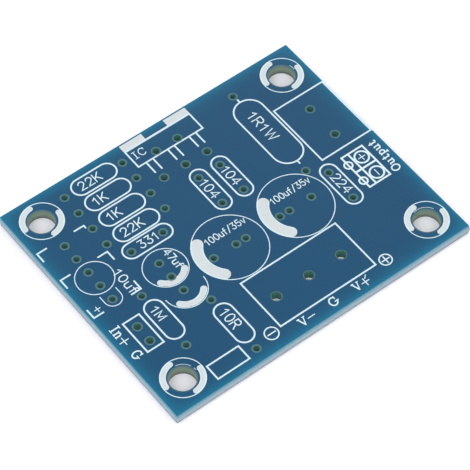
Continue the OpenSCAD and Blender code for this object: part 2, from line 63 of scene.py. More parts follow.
print(f"board {LENGTH:.1f} x {WIDTH:.1f} mm, legend from {TOP:.3f} to {INK_TOP:.3f} mm, {len(nodes)} solids")

# %% [markdown]
# The photograph looks down on one corner through a long lens, so opposite edges stay nearly parallel.
# The camera could be aimed with a constraint, but three directions written out as the columns of a matrix
# show what a camera is: where right, up and back point. The small roll is the photographer's own.

# %% Camera
AZIMUTH = math.radians(-37.60)
ELEVATION = math.radians(54.53)
ROLL = math.radians(-0.11)
DISTANCE = 333.4
FOCUS = Vector((-1.19, -1.73, TOP))
SENSOR = 36
LENS = 205.6
NEAREST = 0.01

back = Vector((
    math.sin(AZIMUTH) * math.cos(ELEVATION),
    -math.cos(AZIMUTH) * math.cos(ELEVATION),
    math.sin(ELEVATION),
))
level = Vector((math.cos(AZIMUTH), math.sin(AZIMUTH), 0))
upright = back.cross(level)
right = math.cos(ROLL) * level + math.sin(ROLL) * upright
up = math.cos(ROLL) * upright - math.sin(ROLL) * level

camera_data = bpy.data.cameras.new("camera")
camera_data.sensor_width = SENSOR
camera_data.lens = LENS
camera_data.clip_start = NEAREST
camera = bpy.data.objects.new("camera", camera_data)
facing = Matrix((right, up, back)).transposed().to_4x4()
camera.matrix_world = Matrix.Translation((FOCUS + back * DISTANCE) * MM) @ facing
bpy.context.scene.collection.objects.link(camera)
bpy.context.scene.camera = camera
print(f"camera {DISTANCE:.0f} mm from the board, {LENS} mm lens")

# %% [markdown]
# Materials are small diagrams of nodes. Wiring each one by hand hides the idea in boilerplate, so four
# helpers do the wiring: they feed one socket, place a node with its sockets named, do a sum, and mix two
# colours. A value that is already a socket is linked, and a plain number is typed into the socket.

# %% Wiring helpers
def feed(tree, socket, value):
    """Links a socket, or types a value into it."""
    if isinstance(value, bpy.types.NodeSocket):
        tree.links.new(value, socket)
    else:
        socket.default_value = value


def place(tree, kind, **sockets):
    """Places a node and feeds its named inputs; an underscore in a name stands for a space."""
    node = tree.nodes.new("ShaderNode" + kind)
    for name, value in sockets.items():
        feed(tree, node.inputs[name.replace("_", " ")], value)
    return node


def calc(tree, operation, *values):
    """One sum on numbers or sockets."""
    node = tree.nodes.new("ShaderNodeMath")
    node.operation = operation
    for socket, value in zip(node.inputs, values):
        feed(tree, socket, value)
    return node.outputs[0]


def blend(tree, amount, first, second):
    """A colour that goes from first to second as amount goes from 0 to 1."""
    node = tree.nodes.new("ShaderNodeMix")
    node.data_type = "RGBA"
    for socket, value in zip((node.inputs[0], node.inputs[6], node.inputs[7]), (amount, first, second)):
        feed(tree, socket, value)
    return node.outputs[2]


print("helpers ready")

# %% [markdown]
# The board lies on a white table. The floor reflects light as a white sheet does, and looks pure white to
# the camera because a little glow is added only for rays that come straight from the eye, from a mirror or
# through glass, so no extra light falls on the board and its shadow stays. Stronger lamps would whiten the
# floor too, but they would bleach the board. Under the board the glow is halved: what shows through the holes
# keeps the grey of a shaded table. From below the table is clear glass, so that the solder side can be seen.

# %% Floor and background
WHITE = (1, 1, 1, 1)
FLOOR_WHITE = (0.90, 0.88, 0.955, 1)
FLOOR_GLOW = 0.26
FLOOR_GLOW_UNDER = 0.13
FLOOR_HALF = 3
FLOOR_DROP = 0.02
AMBIENT = 0.42


def seen_directly(tree):
    """One for rays from the eye, a mirror or glass."""
    rays = tree.nodes.new("ShaderNodeLightPath").outputs
    mirrored = calc(tree, "MAXIMUM", rays["Is Glossy Ray"], rays["Is Transmission Ray"])
    return calc(tree, "MAXIMUM", rays["Is Camera Ray"], mirrored)


def beside_board(tree):
    """One on the open table, zero under the board."""
    spot = place(tree, "SeparateXYZ", Vector=tree.nodes.new("ShaderNodeNewGeometry").outputs["Position"])
    beyond_x = calc(tree, "GREATER_THAN", calc(tree, "ABSOLUTE", spot.outputs["X"]), LENGTH / 2 * MM)
    beyond_y = calc(tree, "GREATER_THAN", calc(tree, "ABSOLUTE", spot.outputs["Y"]), WIDTH / 2 * MM)
    return calc(tree, "MAXIMUM", beyond_x, beyond_y)


def table_finish():
    """White from above, clear from below and for lamps."""
    material = bpy.data.materials.new("white_table")
    material.use_nodes = True
    tree = material.node_tree
    tree.nodes.clear()
    sheet = place(tree, "BsdfDiffuse", Color=FLOOR_WHITE)
    amount = calc(tree, "MULTIPLY_ADD", beside_board(tree), FLOOR_GLOW - FLOOR_GLOW_UNDER, FLOOR_GLOW_UNDER)
    glow = place(tree, "Emission", Color=WHITE, Strength=calc(tree, "MULTIPLY", seen_directly(tree), amount))
    lit = tree.nodes.new("ShaderNodeAddShader")
    feed(tree, lit.inputs[0], sheet.outputs[0])
    feed(tree, lit.inputs[1], glow.outputs[0])
    from_below = tree.nodes.new("ShaderNodeNewGeometry").outputs["Backfacing"]
    to_lamp = tree.nodes.new("ShaderNodeLightPath").outputs["Is Shadow Ray"]
    clear = tree.nodes.new("ShaderNodeMixShader")
    feed(tree, clear.inputs[0], calc(tree, "MAXIMUM", from_below, to_lamp))
    feed(tree, clear.inputs[1], lit.outputs[0])
    feed(tree, clear.inputs[2], tree.nodes.new("ShaderNodeBsdfTransparent").outputs[0])
    feed(tree, tree.nodes.new("ShaderNodeOutputMaterial").inputs[0], clear.outputs[0])
    return material


sheet = bmesh.new()
bmesh.ops.create_grid(sheet, x_segments=1, y_segments=1, size=FLOOR_HALF)
floor_mesh = bpy.data.meshes.new("floor")
sheet.to_mesh(floor_mesh)
sheet.free()
floor_mesh.materials.append(table_finish())
floor = bpy.data.objects.new("floor", floor_mesh)
floor.location.z = -FLOOR_DROP * MM
floor.visible_glossy = False
bpy.context.scene.collection.objects.link(floor)

world = bpy.data.worlds.new("studio")
world.use_nodes = True
sky = world.node_tree.nodes["Background"]
brightness = calc(world.node_tree, "MAXIMUM", seen_directly(world.node_tree), AMBIENT)
feed(world.node_tree, sky.inputs["Color"], WHITE)
feed(world.node_tree, sky.inputs["Strength"], brightness)
world.cycles.sampling_method = "NONE"
bpy.context.scene.world = world
bpy.context.scene.view_settings.view_transform = "Standard"
print("white table and background")

# %% [markdown]
# A product photograph of something flat needs even light and no glare, so the lamps are large, stand to the
# sides, and keep clear of the direction that the glossy mask mirrors into the lens. Together with the
# background they light a white sheet to just about white, so a colour renders as it is written. One sun
# would be simpler, but would leave hard shadows in the holes. A weak sun below the glass table serves the
# views of the solder side.

# %% Lamps
def lamp(name, kind, watts, spot, size):
    """A lamp aimed at the board; size is a side in metres, or the angle of a sun."""
    data = bpy.data.lights.new(name, kind)
    data.energy = watts
    if kind == "AREA":
        data.size = size
    else:
        data.angle = size
    thing = bpy.data.objects.new(name, data)
    thing.location = spot
    thing.rotation_euler = (-Vector(spot)).to_track_quat("-Z", "Y").to_euler()
    bpy.context.scene.collection.objects.link(thing)


lamp("softbox_left", "AREA", 4.0, (-0.65, -0.05, 0.75), 0.6)
lamp("softbox_front", "AREA", 2.6, (0.25, -0.6, 0.75), 0.6)
lamp("softbox_back", "AREA", 1.6, (0.45, 0.58, 0.36), 0.5)
lamp("under_table", "SUN", 1.5, (0.05, -0.05, -1.0), math.radians(30))

# %% [markdown]
# Light enters the cut edge of a glass-epoxy board, travels a millimetre or two inside it, and comes out
# through the mask as a teal glow along the outline. A translucent shader could trace that light, at the
# cost of noise. The glow depends only on the distance to the edge, so a node group works it out from the
# place on the board, and the mask on both sides and the laminate share it. A second group measures the
# distance from the middle of the nearest mounting hole, because both finishes change round those holes.

# %% Edge glow group
def new_group(name, inputs, outputs):
    """A shader node group with plain number sockets."""
    group = bpy.data.node_groups.new(name, "ShaderNodeTree")
    for label, value in inputs.items():
        socket = group.interface.new_socket(label, in_out="INPUT", socket_type="NodeSocketFloat")
        socket.default_value = value
    for label in outputs:
        group.interface.new_socket(label, in_out="OUTPUT", socket_type="NodeSocketFloat")
    given = group.nodes.new("NodeGroupInput").outputs
    result = group.nodes.new("NodeGroupOutput").inputs
    return group, given, result


def spot_mm(tree):
    """The surface point in millimetres."""
    scale = tree.nodes.new("ShaderNodeVectorMath")
    scale.operation = "SCALE"
    scale.inputs["Scale"].default_value = 1 / MM
    feed(tree, scale.inputs[0], tree.nodes.new("ShaderNodeTexCoord").outputs["Object"])
    return scale.outputs[0]


def spot_xyz(tree):
    """The surface point in millimetres, as three numbers."""
    return place(tree, "SeparateXYZ", Vector=spot_mm(tree)).outputs


def slant(tree, across, along):
    """The long side of a right-angled triangle."""
    squares = calc(tree, "ADD", calc(tree, "POWER", across, 2), calc(tree, "POWER", along, 2))
    return calc(tree, "SQRT", squares)


def make_edge_glow():
    sockets = {"Length": 10, "Width": 10, "Reach": 1}
    group, given, result = new_group("edge_glow", sockets, ("Glow", "Distance"))
    x, y, _ = spot_xyz(group)
    gaps = []
    for way, side in ((x, "Length"), (y, "Width")):
        half = calc(group, "MULTIPLY", given[side], 0.5)
        gaps.append(calc(group, "SUBTRACT", half, calc(group, "ABSOLUTE", way)))
    dark = 1
    for gap in gaps:
        depth = calc(group, "DIVIDE", gap, given["Reach"])
        fade = calc(group, "EXPONENT", calc(group, "MULTIPLY", depth, -1))
        dark = calc(group, "MULTIPLY", dark, calc(group, "SUBTRACT", 1, fade))
    feed(group, result["Glow"], calc(group, "SUBTRACT", 1, dark))
    feed(group, result["Distance"], calc(group, "MINIMUM", *gaps))
    return group


def make_hole_reach():
    group, given, result = new_group("hole_reach", {"Hole X": 10, "Hole Y": 10}, ("Reach",))
    x, y, _ = spot_xyz(group)
    off_x = calc(group, "SUBTRACT", calc(group, "ABSOLUTE", x), given["Hole X"])
    off_y = calc(group, "SUBTRACT", calc(group, "ABSOLUTE", y), given["Hole Y"])
    feed(group, result["Reach"], slant(group, off_x, off_y))
    return group


EDGE_GLOW = make_edge_glow()
HOLE_REACH = make_hole_reach()
MOUNT_X, MOUNT_Y = (value / MM for value in frame["record"]["mounts"][3]["pos_m"][:2])
print("groups", EDGE_GLOW.name, HOLE_REACH.name)

# %% [markdown]
# Two more effects are shared. Glass cloth lies just under the surface of the laminate and shows through as
# a faint plain weave, threads over and under in turn. A picture of cloth could give that, but two crossed
# sine waves do too, at any scale. Fine grain is the slight unevenness that any coating has: ink, mask and tin
# each use it at their own scale.

# %% Weave and grain groups
def make_glass_cloth():
    group, given, result = new_group("glass_cloth", {"Pitch": 0.5}, ("Threads",))
    x, y, _ = spot_xyz(group)
    waves = []
    for way in (x, y):
        turns = calc(group, "MULTIPLY", calc(group, "DIVIDE", way, given["Pitch"]), math.pi)
        waves.append(calc(group, "SINE", turns))
    over = calc(group, "GREATER_THAN", calc(group, "MULTIPLY", *waves), 0)
    along = calc(group, "MULTIPLY", over, calc(group, "ABSOLUTE", waves[0]))
    across = calc(group, "MULTIPLY", calc(group, "SUBTRACT", 1, over), calc(group, "ABSOLUTE", waves[1]))
    feed(group, result["Threads"], calc(group, "ADD", along, across))
    return group


def make_fine_grain():
    group, given, result = new_group("fine_grain", {"Scale": 1, "Detail": 3}, ("Grain",))
    spot = spot_mm(group)
    noise = place(group, "TexNoise", Vector=spot, Scale=given["Scale"], Detail=given["Detail"])
    feed(group, result["Grain"], noise.outputs[0])
    return group


GLASS_CLOTH = make_glass_cloth()
FINE_GRAIN = make_fine_grain()
print("groups", GLASS_CLOTH.name, FINE_GRAIN.name)

# %% [markdown]
# Each finish starts from the same few steps: a new material, its main shader, groups placed with this
# finish's own values, and a gentle bump. They could be written out in each recipe, but small functions for
# them keep the recipes readable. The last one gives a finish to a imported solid.

# %% Steps that every finish shares
def new_finish(name, **sockets):
    """A material with its main shader, constants typed on the shader itself."""
    material = bpy.data.materials.new(name)
    material.use_nodes = True
    tree = material.node_tree
    shader = tree.nodes["Principled BSDF"]
    for label, value in sockets.items():
        shader.inputs[label.replace("_", " ")].default_value = value
    return material, tree, shader.inputs


def use(tree, group, **values):
    """Places a shared group with values of its own."""
    node = tree.nodes.new("ShaderNodeGroup")
    node.node_tree = group
    for label, value in values.items():
        feed(tree, node.inputs[label], value)
    return node.outputs


def between(tree, amount, low, high):
    """A number that goes from low to high as amount goes from 0 to 1."""
    node = place(tree, "MapRange", Value=amount, To_Min=low, To_Max=high)
    return node.outputs[0]


def shade(tree, colour, amount, depth):
    """The colour made up to depth lighter or darker by an amount around one half."""
    node = place(tree, "HueSaturation", Color=colour, Value=between(tree, amount, 1 - depth, 1 + depth))
    return node.outputs[0]


def ramp(tree, value, *stops):
    """A colour that runs through stops of (place from 0 to 1, colour)."""
    node = place(tree, "ValToRGB", Fac=value)
    marks = node.color_ramp.elements
    while len(marks) < len(stops):
        marks.new(0.5)
    for mark, (spot, colour) in zip(marks, stops):
        mark.position = spot
        mark.color = (*colour, 1)
    return node.outputs[0]


def bump(tree, inputs, height, depth_mm, strength):
    """Relief from a height, up to a depth in millimetres."""
    node = place(tree, "Bump", Height=height, Strength=strength, Distance=depth_mm * MM)
    feed(tree, inputs["Normal"], node.outputs[0])


def dress(name, finish):
    """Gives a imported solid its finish."""
    slots = nodes[name].data.materials
    slots.clear()
    slots.append(finish)


print("finish helpers ready")

# %% [markdown]
# Solder mask is a blue lacquer, screened on and cured. Over bare laminate it looks a deep grey-blue, over
# copper a clearer and brighter blue, because the metal sends the light back through it. One recipe makes
# all of them from two colours: the one in the middle of the board, and the teal that the lit rim has. Round
# a mounting hole the drill has frayed the film, and a paler ring shows that.

# %% Solder mask
THIN_MASK = (0.088, 0.172, 0.200, 1)
FRAY_FROM, FRAY_TO, FRAY = 1.81, 1.97, 0.85


def thin_ring(tree):
    """One at the rim of a mounting hole, where the drill has frayed the mask, fading to nothing."""
    reach = use(tree, HOLE_REACH, **{"Hole X": MOUNT_X, "Hole Y": MOUNT_Y})["Reach"]
    node = place(tree, "MapRange", Value=reach, From_Min=FRAY_FROM, From_Max=FRAY_TO, To_Min=FRAY, To_Max=0)
    return node.outputs[0]


def mask_finish(name, middle, rim):
    """Blue lacquer from its colour in the middle of the board and the one at the rim."""
    material, tree, inputs = new_finish(name, Specular_IOR_Level=0.25)
    glow = use(tree, EDGE_GLOW, Length=LENGTH, Width=WIDTH, Reach=0.8)["Glow"]
    cloud = use(tree, FINE_GRAIN, Scale=0.22, Detail=2)["Grain"]
    peel = use(tree, FINE_GRAIN, Scale=5, Detail=3)["Grain"]
    threads = use(tree, GLASS_CLOTH, Pitch=0.46)["Threads"]
    colour = blend(tree, glow, middle, rim)
    colour = blend(tree, thin_ring(tree), colour, THIN_MASK)
    colour = shade(tree, colour, cloud, 0.05)
    colour = shade(tree, colour, peel, 0.06)
    feed(tree, inputs["Base Color"], shade(tree, colour, threads, 0.015))
    feed(tree, inputs["Roughness"], between(tree, peel, 0.34, 0.5))
    bump(tree, inputs, calc(tree, "ADD", peel, calc(tree, "MULTIPLY", threads, 0.4)), 0.006, 0.5)
    return material


MASK_OVER_LAMINATE = mask_finish("mask_over_laminate", (0.003, 0.069, 0.159, 1), (0.002, 0.178, 0.318, 1))
MASK_OVER_COPPER = mask_finish("mask_over_copper", (0.006, 0.105, 0.285, 1), (0.006, 0.160, 0.340, 1))
dress("solder_mask_top", MASK_OVER_LAMINATE)
print("mask finishes:", MASK_OVER_LAMINATE.name, MASK_OVER_COPPER.name)

# %% [markdown]
# The laminate shows only where the mask is missing: the scored and snapped outline, the walls of the
# holes, and a narrow ring round each lead hole. It is glass cloth in clear resin, so it is pale where light
# passes through it at the outline, a painted glow, olive in the wide mounting holes, and dark green down in
# the narrow lead holes, partly their own colour and partly painted shade. Each wall runs through several
# colours from its foot to its top, painted shade that darkens towards the foot, since little light gets down
# there.
# Painting those places as separate meshes would be one way; reading the place on the board keeps one solid.

# %% Laminate
BARE_RING = (0.087, 0.205, 0.225, 1)
OUTLINE_DEPTH = 0.15
MOUNT_REACH = 2
PLY_TURNS = 33


def laminate_finish():
    """Cut glass-epoxy, coloured by where on the board the cut is and how deep, with painted shade towards the
    foot of each wall.
    """
    material, tree, inputs = new_finish("laminate", Roughness=0.6, Specular_IOR_Level=0.15)
    z = spot_xyz(tree)["Z"]
    edge = use(tree, EDGE_GLOW, Length=LENGTH, Width=WIDTH, Reach=0.8)["Distance"]
    at_edge = calc(tree, "LESS_THAN", edge, OUTLINE_DEPTH)
    reach = use(tree, HOLE_REACH, **{"Hole X": MOUNT_X, "Hole Y": MOUNT_Y})["Reach"]
    in_mount = calc(tree, "LESS_THAN", reach, MOUNT_REACH)
    normal = place(tree, "SeparateXYZ", Vector=tree.nodes.new("ShaderNodeNewGeometry").outputs["Normal"])
    on_top = calc(tree, "GREATER_THAN", normal.outputs["Z"], 0.7)
    level = calc(tree, "DIVIDE", z, TOP)
    # Painted shade: each wall darkens towards its foot, and the narrow lead holes more than the wide mounting
    # holes.
    lead_wall_with_painted_shade = ramp(
        tree, level, (0.4, (0.022, 0.150, 0.125)), (0.56, (0.037, 0.195, 0.152)),
        (0.7, (0.047, 0.205, 0.168)), (0.85, (0.054, 0.203, 0.176)), (0.95, (0.046, 0.178, 0.160)),
    )
    # Painted shade as well: the mounting-hole wall is olive in the middle and darkest at its foot.
    mount_wall_with_painted_shade = ramp(
        tree, level, (0.05, (0.10, 0.11, 0.09)), (0.2, (0.18, 0.21, 0.175)), (0.45, (0.235, 0.315, 0.245)),
        (0.65, (0.25, 0.34, 0.255)), (0.85, (0.19, 0.305, 0.265)), (0.98, (0.145, 0.275, 0.275)),
    )
    # Painted light and shade on the cut edge: dark towards the foot near the table, a pale painted glow in
    # the middle where light comes through, teal at the top under the mask.
    outline = ramp(
        tree, level, (0.04, (0.20, 0.235, 0.245)), (0.3, (0.36, 0.44, 0.465)), (0.5, (0.41, 0.546, 0.60)),
        (0.75, (0.30, 0.50, 0.60)), (0.98, (0.118, 0.315, 0.44)),
    )

    rough = use(tree, FINE_GRAIN, Scale=2.5, Detail=6)["Grain"]
    saw = use(tree, FINE_GRAIN, Scale=9, Detail=2)["Grain"]
    uneven = calc(tree, "ADD", z, calc(tree, "MULTIPLY", rough, 0.12))
    plies = calc(tree, "SINE", calc(tree, "MULTIPLY", uneven, PLY_TURNS))
    plies = calc(tree, "MULTIPLY_ADD", plies, 0.5, 0.5)
    colour = blend(tree, in_mount, lead_wall_with_painted_shade, mount_wall_with_painted_shade)
    colour = blend(tree, on_top, colour, BARE_RING)
    colour = blend(tree, at_edge, colour, outline)
    colour = shade(tree, colour, plies, 0.06)
    feed(tree, inputs["Base Color"], shade(tree, colour, rough, 0.12))
    bump(tree, inputs, calc(tree, "ADD", saw, rough), 0.02, 0.6)
    return material


dress("laminate", laminate_finish())
print("laminate finish")

# %% [markdown]
# The legend is white ink pressed through a fine screen. It is never quite white: a thin film lets some blue
# through, and the screen leaves it slightly mottled. Lines hold more ink than broad bands do, so the bands
# of the capacitors and mounting holes are duller in the middle. The bands could be pieces of their own, but
# the print is one layer, so a group tells whether a place lies in a round band, from the band's centre,
# radius and half width.

# %% Legend ink
ROUND_BANDS = [(x, -2.82, 4.12, 0.7) for x in (-2.78, 7.62)]
ROUND_BANDS += [(-10.98, y, 2.35, 0.38) for y in (-0.42, -4.36)]
ROUND_BANDS += [(x * MOUNT_X + 0.12, y * MOUNT_Y + 0.08, 2.44, 0.32) for x in (1, -1) for y in (1, -1)]
TAB_X, TAB_HALF, TAB_FOOT = 0.2, 6.5, 17.1
SOFT_RIM = 0.1
LETTER_COLOUR = (0.77, 0.93, 0.985, 1)


def make_round_band():
    sockets = {"X": 0, "Y": 0, "Radius": 1, "Half": 0.5}
    group, given, result = new_group("round_band", sockets, ("Inside",))
    x, y, _ = spot_xyz(group)
    off_x = calc(group, "SUBTRACT", x, given["X"])
    off_y = calc(group, "SUBTRACT", y, given["Y"])
    off_band = calc(group, "ABSOLUTE", calc(group, "SUBTRACT", slant(group, off_x, off_y), given["Radius"]))
    depth = calc(group, "SUBTRACT", given["Half"], off_band)
    soft = place(group, "MapRange", Value=depth, From_Max=SOFT_RIM)
    feed(group, result["Inside"], soft.outputs[0])
    return group


ROUND_BAND = make_round_band()


def broad_print(tree):
    """One in the broad bands and in the amplifier's tab."""
    x, y, _ = spot_xyz(tree)
    beside = calc(tree, "LESS_THAN", calc(tree, "ABSOLUTE", calc(tree, "SUBTRACT", x, TAB_X)), TAB_HALF)
    inside = calc(tree, "MULTIPLY", calc(tree, "GREATER_THAN", y, TAB_FOOT), beside)
    for band in ROUND_BANDS:
        values = dict(zip(("X", "Y", "Radius", "Half"), band))
        inside = calc(tree, "MAXIMUM", inside, use(tree, ROUND_BAND, **values)["Inside"])
    return inside


def ink_finish(name, line, broad):
    """White print with a colour for lines and one for broad bands."""
    material, tree, inputs = new_finish(name, Specular_IOR_Level=0.3)
    mottle = use(tree, FINE_GRAIN, Scale=1.6, Detail=4)["Grain"]
    mesh = use(tree, FINE_GRAIN, Scale=11, Detail=1)["Grain"]
    colour = shade(tree, blend(tree, broad_print(tree), line, broad), mottle, 0.07)
    feed(tree, inputs["Base Color"], shade(tree, colour, mesh, 0.06))
    feed(tree, inputs["Roughness"], between(tree, mesh, 0.6, 0.85))
    bump(tree, inputs, mesh, 0.008, 0.5)
    return material


INK = ink_finish("legend_ink", (0.73, 0.905, 0.98, 1), (0.70, 0.76, 0.78, 1))
LETTER_INK = ink_finish("lettering_ink", LETTER_COLOUR, LETTER_COLOUR)
dress("legend_print", INK)
print("ink finishes:", INK.name, LETTER_INK.name)

# %% [markdown]
# Under the mask lies copper foil, and the solder pads are coated with tin by dipping the board and blowing
# the surplus off. Levelled tin is bright but slightly wavy; the foil keeps the brushed look of the panel. The
# waves could be modelled, but on a pad of two millimetres a bump shows the same. The dip runs into the holes,
# so their metal walls are tin in both finishes.

# %% Copper and tin
TIN_COLOUR = (0.66, 0.67, 0.68, 1)


def metal_finish(name, colour, stain, wave_mm, rough_low, rough_high):
    """Clouded metal, with tin on the walls of holes."""
    material, tree, inputs = new_finish(name, Metallic=1.0)
    cloud = use(tree, FINE_GRAIN, Scale=1.2, Detail=3)["Grain"]
    fine = use(tree, FINE_GRAIN, Scale=7, Detail=2)["Grain"]
    normal = place(tree, "SeparateXYZ", Vector=tree.nodes.new("ShaderNodeNewGeometry").outputs["Normal"])
    upright = calc(tree, "LESS_THAN", calc(tree, "ABSOLUTE", normal.outputs["Z"]), 0.5)
    surface = blend(tree, upright, blend(tree, cloud, colour, stain), TIN_COLOUR)
    feed(tree, inputs["Base Color"], shade(tree, surface, fine, 0.05))
    feed(tree, inputs["Roughness"], between(tree, fine, rough_low, rough_high))
    bump(tree, inputs, cloud, wave_mm, 0.7)
    return material


COPPER = metal_finish("copper", (0.78, 0.42, 0.25, 1), (0.62, 0.30, 0.16, 1), 0.004, 0.3, 0.5)
TIN = metal_finish("tin", TIN_COLOUR, (0.43, 0.44, 0.45, 1), 0.06, 0.2, 0.45)
foils = [name for name in nodes if name.startswith("foil_")]
for name in foils:
    dress(name, COPPER)
dress("pad_tinning", TIN)
print("copper on", len(foils), "pieces of foil, tin on the pads")

# %% [markdown]
# The lower mask follows the foil: it stands a little proud over copper and sinks into the gaps between.
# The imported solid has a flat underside, but its upper side is a cast of the foil, with a pocket for each
# piece. The film could be drawn anew from the foil's outlines, but that cast already has them: the pocket
# floors become the parts over copper, the ridges the gaps, and the pocket walls the small steps between.

# %% Film under the board
GAP_DEPTH = 0.018 * MM
SAME_POINT = 1e-7
SAME_LEVEL = 1e-6
FLAT = 0.9


def film_under():
    """Mesh of the stepped film, from the cast in the lower mask."""
    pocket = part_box("foil_input")[0].z
    ridge = board_low.z
    film = bmesh.new()
    film.from_mesh(nodes["solder_mask_bottom"].data)
    bmesh.ops.remove_doubles(film, verts=film.verts, dist=SAME_POINT)

    def lies_at(face, height):
        return all(abs(vert.co.z - height) < SAME_LEVEL for vert in face.verts)

    def in_cast(face):
        return all(vert.co.z > pocket - SAME_LEVEL for vert in face.verts)

    bmesh.ops.delete(film, geom=[face for face in film.faces if not in_cast(face)], context="FACES")
    for face in film.faces:
        face.material_index = int(not lies_at(face, pocket))
    for vert in film.verts:
        vert.co.z = GAP_DEPTH if vert.co.z > (pocket + ridge) / 2 else 0
    rim = [edge for edge in film.edges if edge.is_boundary]
    grown = bmesh.ops.extrude_edge_only(film, edges=rim)["geom"]
    for item in grown:
        if isinstance(item, bmesh.types.BMVert):
            item.co.z = pocket
    for face in film.faces:
        if abs(face.normal.z) <= FLAT:
            face.material_index = 1
    bmesh.ops.recalc_face_normals(film, faces=film.faces)
    mesh = bpy.data.meshes.new("mask_film_under")
    film.to_mesh(mesh)
    film.free()
    mesh.materials.append(MASK_OVER_COPPER)
    mesh.materials.append(MASK_OVER_LAMINATE)
    return mesh


def add_piece(name, mesh):
    """Puts a piece on the board."""
    piece = bpy.data.objects.new(name, mesh)
    bpy.context.scene.collection.objects.link(piece)
    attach(piece, "root")
    return piece


under = add_piece("mask_film_under", film_under())
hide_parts("solder_mask_bottom")
print("film under the board:", len(under.data.polygons), "faces")

# %% [markdown]
# The lettering on a board is drawn by a plotter-like font: each sign is a few strokes of one width. A font
# file could stand in for it, but strokes are closer to the real thing and need nothing from disk. A sign is
# written on a grid where 1 is the height of a capital, with its width first and then its strokes.

# %% Plain lettering
def bow(x, y, rx, ry, start, end, steps=8):
    """Points along part of an ellipse, angles in degrees."""
    angles = [math.radians(start + (end - start) * i / steps) for i in range(steps + 1)]
    return [(x + rx * math.cos(a), y + ry * math.sin(a)) for a in angles]


PLAIN = {
    "0": (0.60, [bow(0.3, 0.5, 0.3, 0.5, 90, 450, 20)]),
    "1": (0.34, [[(0.02, 0.7), (0.28, 0.92), (0.28, 0)]]),
    "2": (0.60, [bow(0.3, 0.72, 0.28, 0.28, 170, -35, 9) + [(0, 0), (0.6, 0)]]),
    "3": (0.60, [[(0.04, 1), (0.56, 1), (0.27, 0.6)] + bow(0.29, 0.3, 0.3, 0.3, 85, -160, 9)]),
    "4": (0.66, [[(0.48, 0), (0.48, 1), (0, 0.32), (0.66, 0.32)]]),
    "5": (0.60, [[(0.54, 1), (0.08, 1), (0.04, 0.56)] + bow(0.29, 0.32, 0.3, 0.32, 130, -150, 9)]),
    "7": (0.60, [[(0, 1), (0.6, 1), (0.2, 0)]]),
    "K": (0.62, [[(0, 0), (0, 1)], [(0.6, 1), (0, 0.36)], [(0.2, 0.57), (0.62, 0)]]),
    "M": (0.72, [[(0, 0), (0, 1), (0.36, 0.2), (0.72, 1), (0.72, 0)]]),
    "R": (0.62, [
        [(0, 0), (0, 1), (0.34, 1)] + bow(0.34, 0.75, 0.26, 0.25, 90, -90) + [(0, 0.5)],
        [(0.3, 0.5), (0.62, 0)],
    ]),
    "W": (0.92, [[(0, 1), (0.22, 0), (0.46, 0.95), (0.7, 0), (0.92, 1)]]),
    "f": (0.40, [bow(0.34, 0.8, 0.18, 0.2, 80, 180, 5) + [(0.16, 0)], [(0, 0.66), (0.38, 0.66)]]),
    "u": (0.50, [[(0, 0.66), (0, 0.24)] + bow(0.24, 0.24, 0.24, 0.24, 180, 360), [(0.48, 0.66), (0.48, 0)]]),
    "v": (0.50, [[(0, 0.66), (0.25, 0), (0.5, 0.66)]]),
    "/": (0.50, [[(0, -0.08), (0.5, 1.08)]]),
}
print("plain signs:", " ".join(PLAIN))

# %% [markdown]
# The names of the terminals and of the amplifier are set in a face with serifs, the short feet that close
# each stem. They are strokes as well, so the same pen can draw them, but with two widths: after its width,
# each sign has its heavy strokes and then its light ones.

# %% Lettering with serifs
SERIF = {
    "C": (0.72, [bow(0.38, 0.5, 0.36, 0.5, 42, 318, 16)], [[(0.66, 0.68), (0.66, 0.98)]]),
    "G": (
        0.92, [bow(0.4, 0.5, 0.4, 0.5, 48, 338, 16) + [(0.78, 0.42)]],
        [[(0.54, 0.42), (0.94, 0.42)], [(0.68, 0.7), (0.7, 1.02)]],
    ),
    "I": (0.40, [[(0.2, 0), (0.2, 1)]], [[(0, 0), (0.4, 0)], [(0, 1), (0.4, 1)]]),
    "O": (0.78, [bow(0.39, 0.5, 0.39, 0.5, 90, 450, 20)], []),
    "V": (
        0.92, [[(0.12, 1), (0.48, 0.02)]],
        [[(0.48, 0), (0.82, 1)], [(0, 1), (0.28, 1)], [(0.68, 1), (0.94, 1)]],
    ),
    "n": (
        0.66, [[(0.12, 0), (0.12, 0.64)], bow(0.33, 0.45, 0.21, 0.21, 120, 0, 5) + [(0.54, 0)]],
        [
            [(0, 0.66), (0.12, 0.66)], [(0.12, 0.46), (0.23, 0.63)],
            [(0, 0), (0.24, 0)], [(0.42, 0), (0.66, 0)],
        ],
    ),
    "p": (
        0.60, [[(0.12, 0.62), (0.12, -0.32)], bow(0.34, 0.33, 0.24, 0.33, 165, -165, 12)],
        [[(0, 0.66), (0.12, 0.66)], [(0, -0.32), (0.26, -0.32)]],
    ),
    "t": (
        0.42, [[(0.16, 0.92), (0.16, 0.16)] + bow(0.3, 0.16, 0.14, 0.16, 180, 320, 5)],
        [[(0, 0.66), (0.38, 0.66)]],
    ),
    "u": (
        0.64, [[(0.1, 0.62), (0.1, 0.22)] + bow(0.3, 0.22, 0.2, 0.22, 180, 345, 7), [(0.5, 0.64), (0.5, 0)]],
        [[(0, 0.66), (0.1, 0.66)], [(0.4, 0.66), (0.5, 0.66)], [(0.5, 0), (0.62, 0)]],
    ),
    "+": (1.00, [], [[(0, 0.42), (1, 0.42)], [(0.5, -0.08), (0.5, 0.92)]]),
    "-": (0.80, [], [[(0, 0.5), (0.86, 0.5)]]),
}
print("signs with serifs:", " ".join(SERIF))

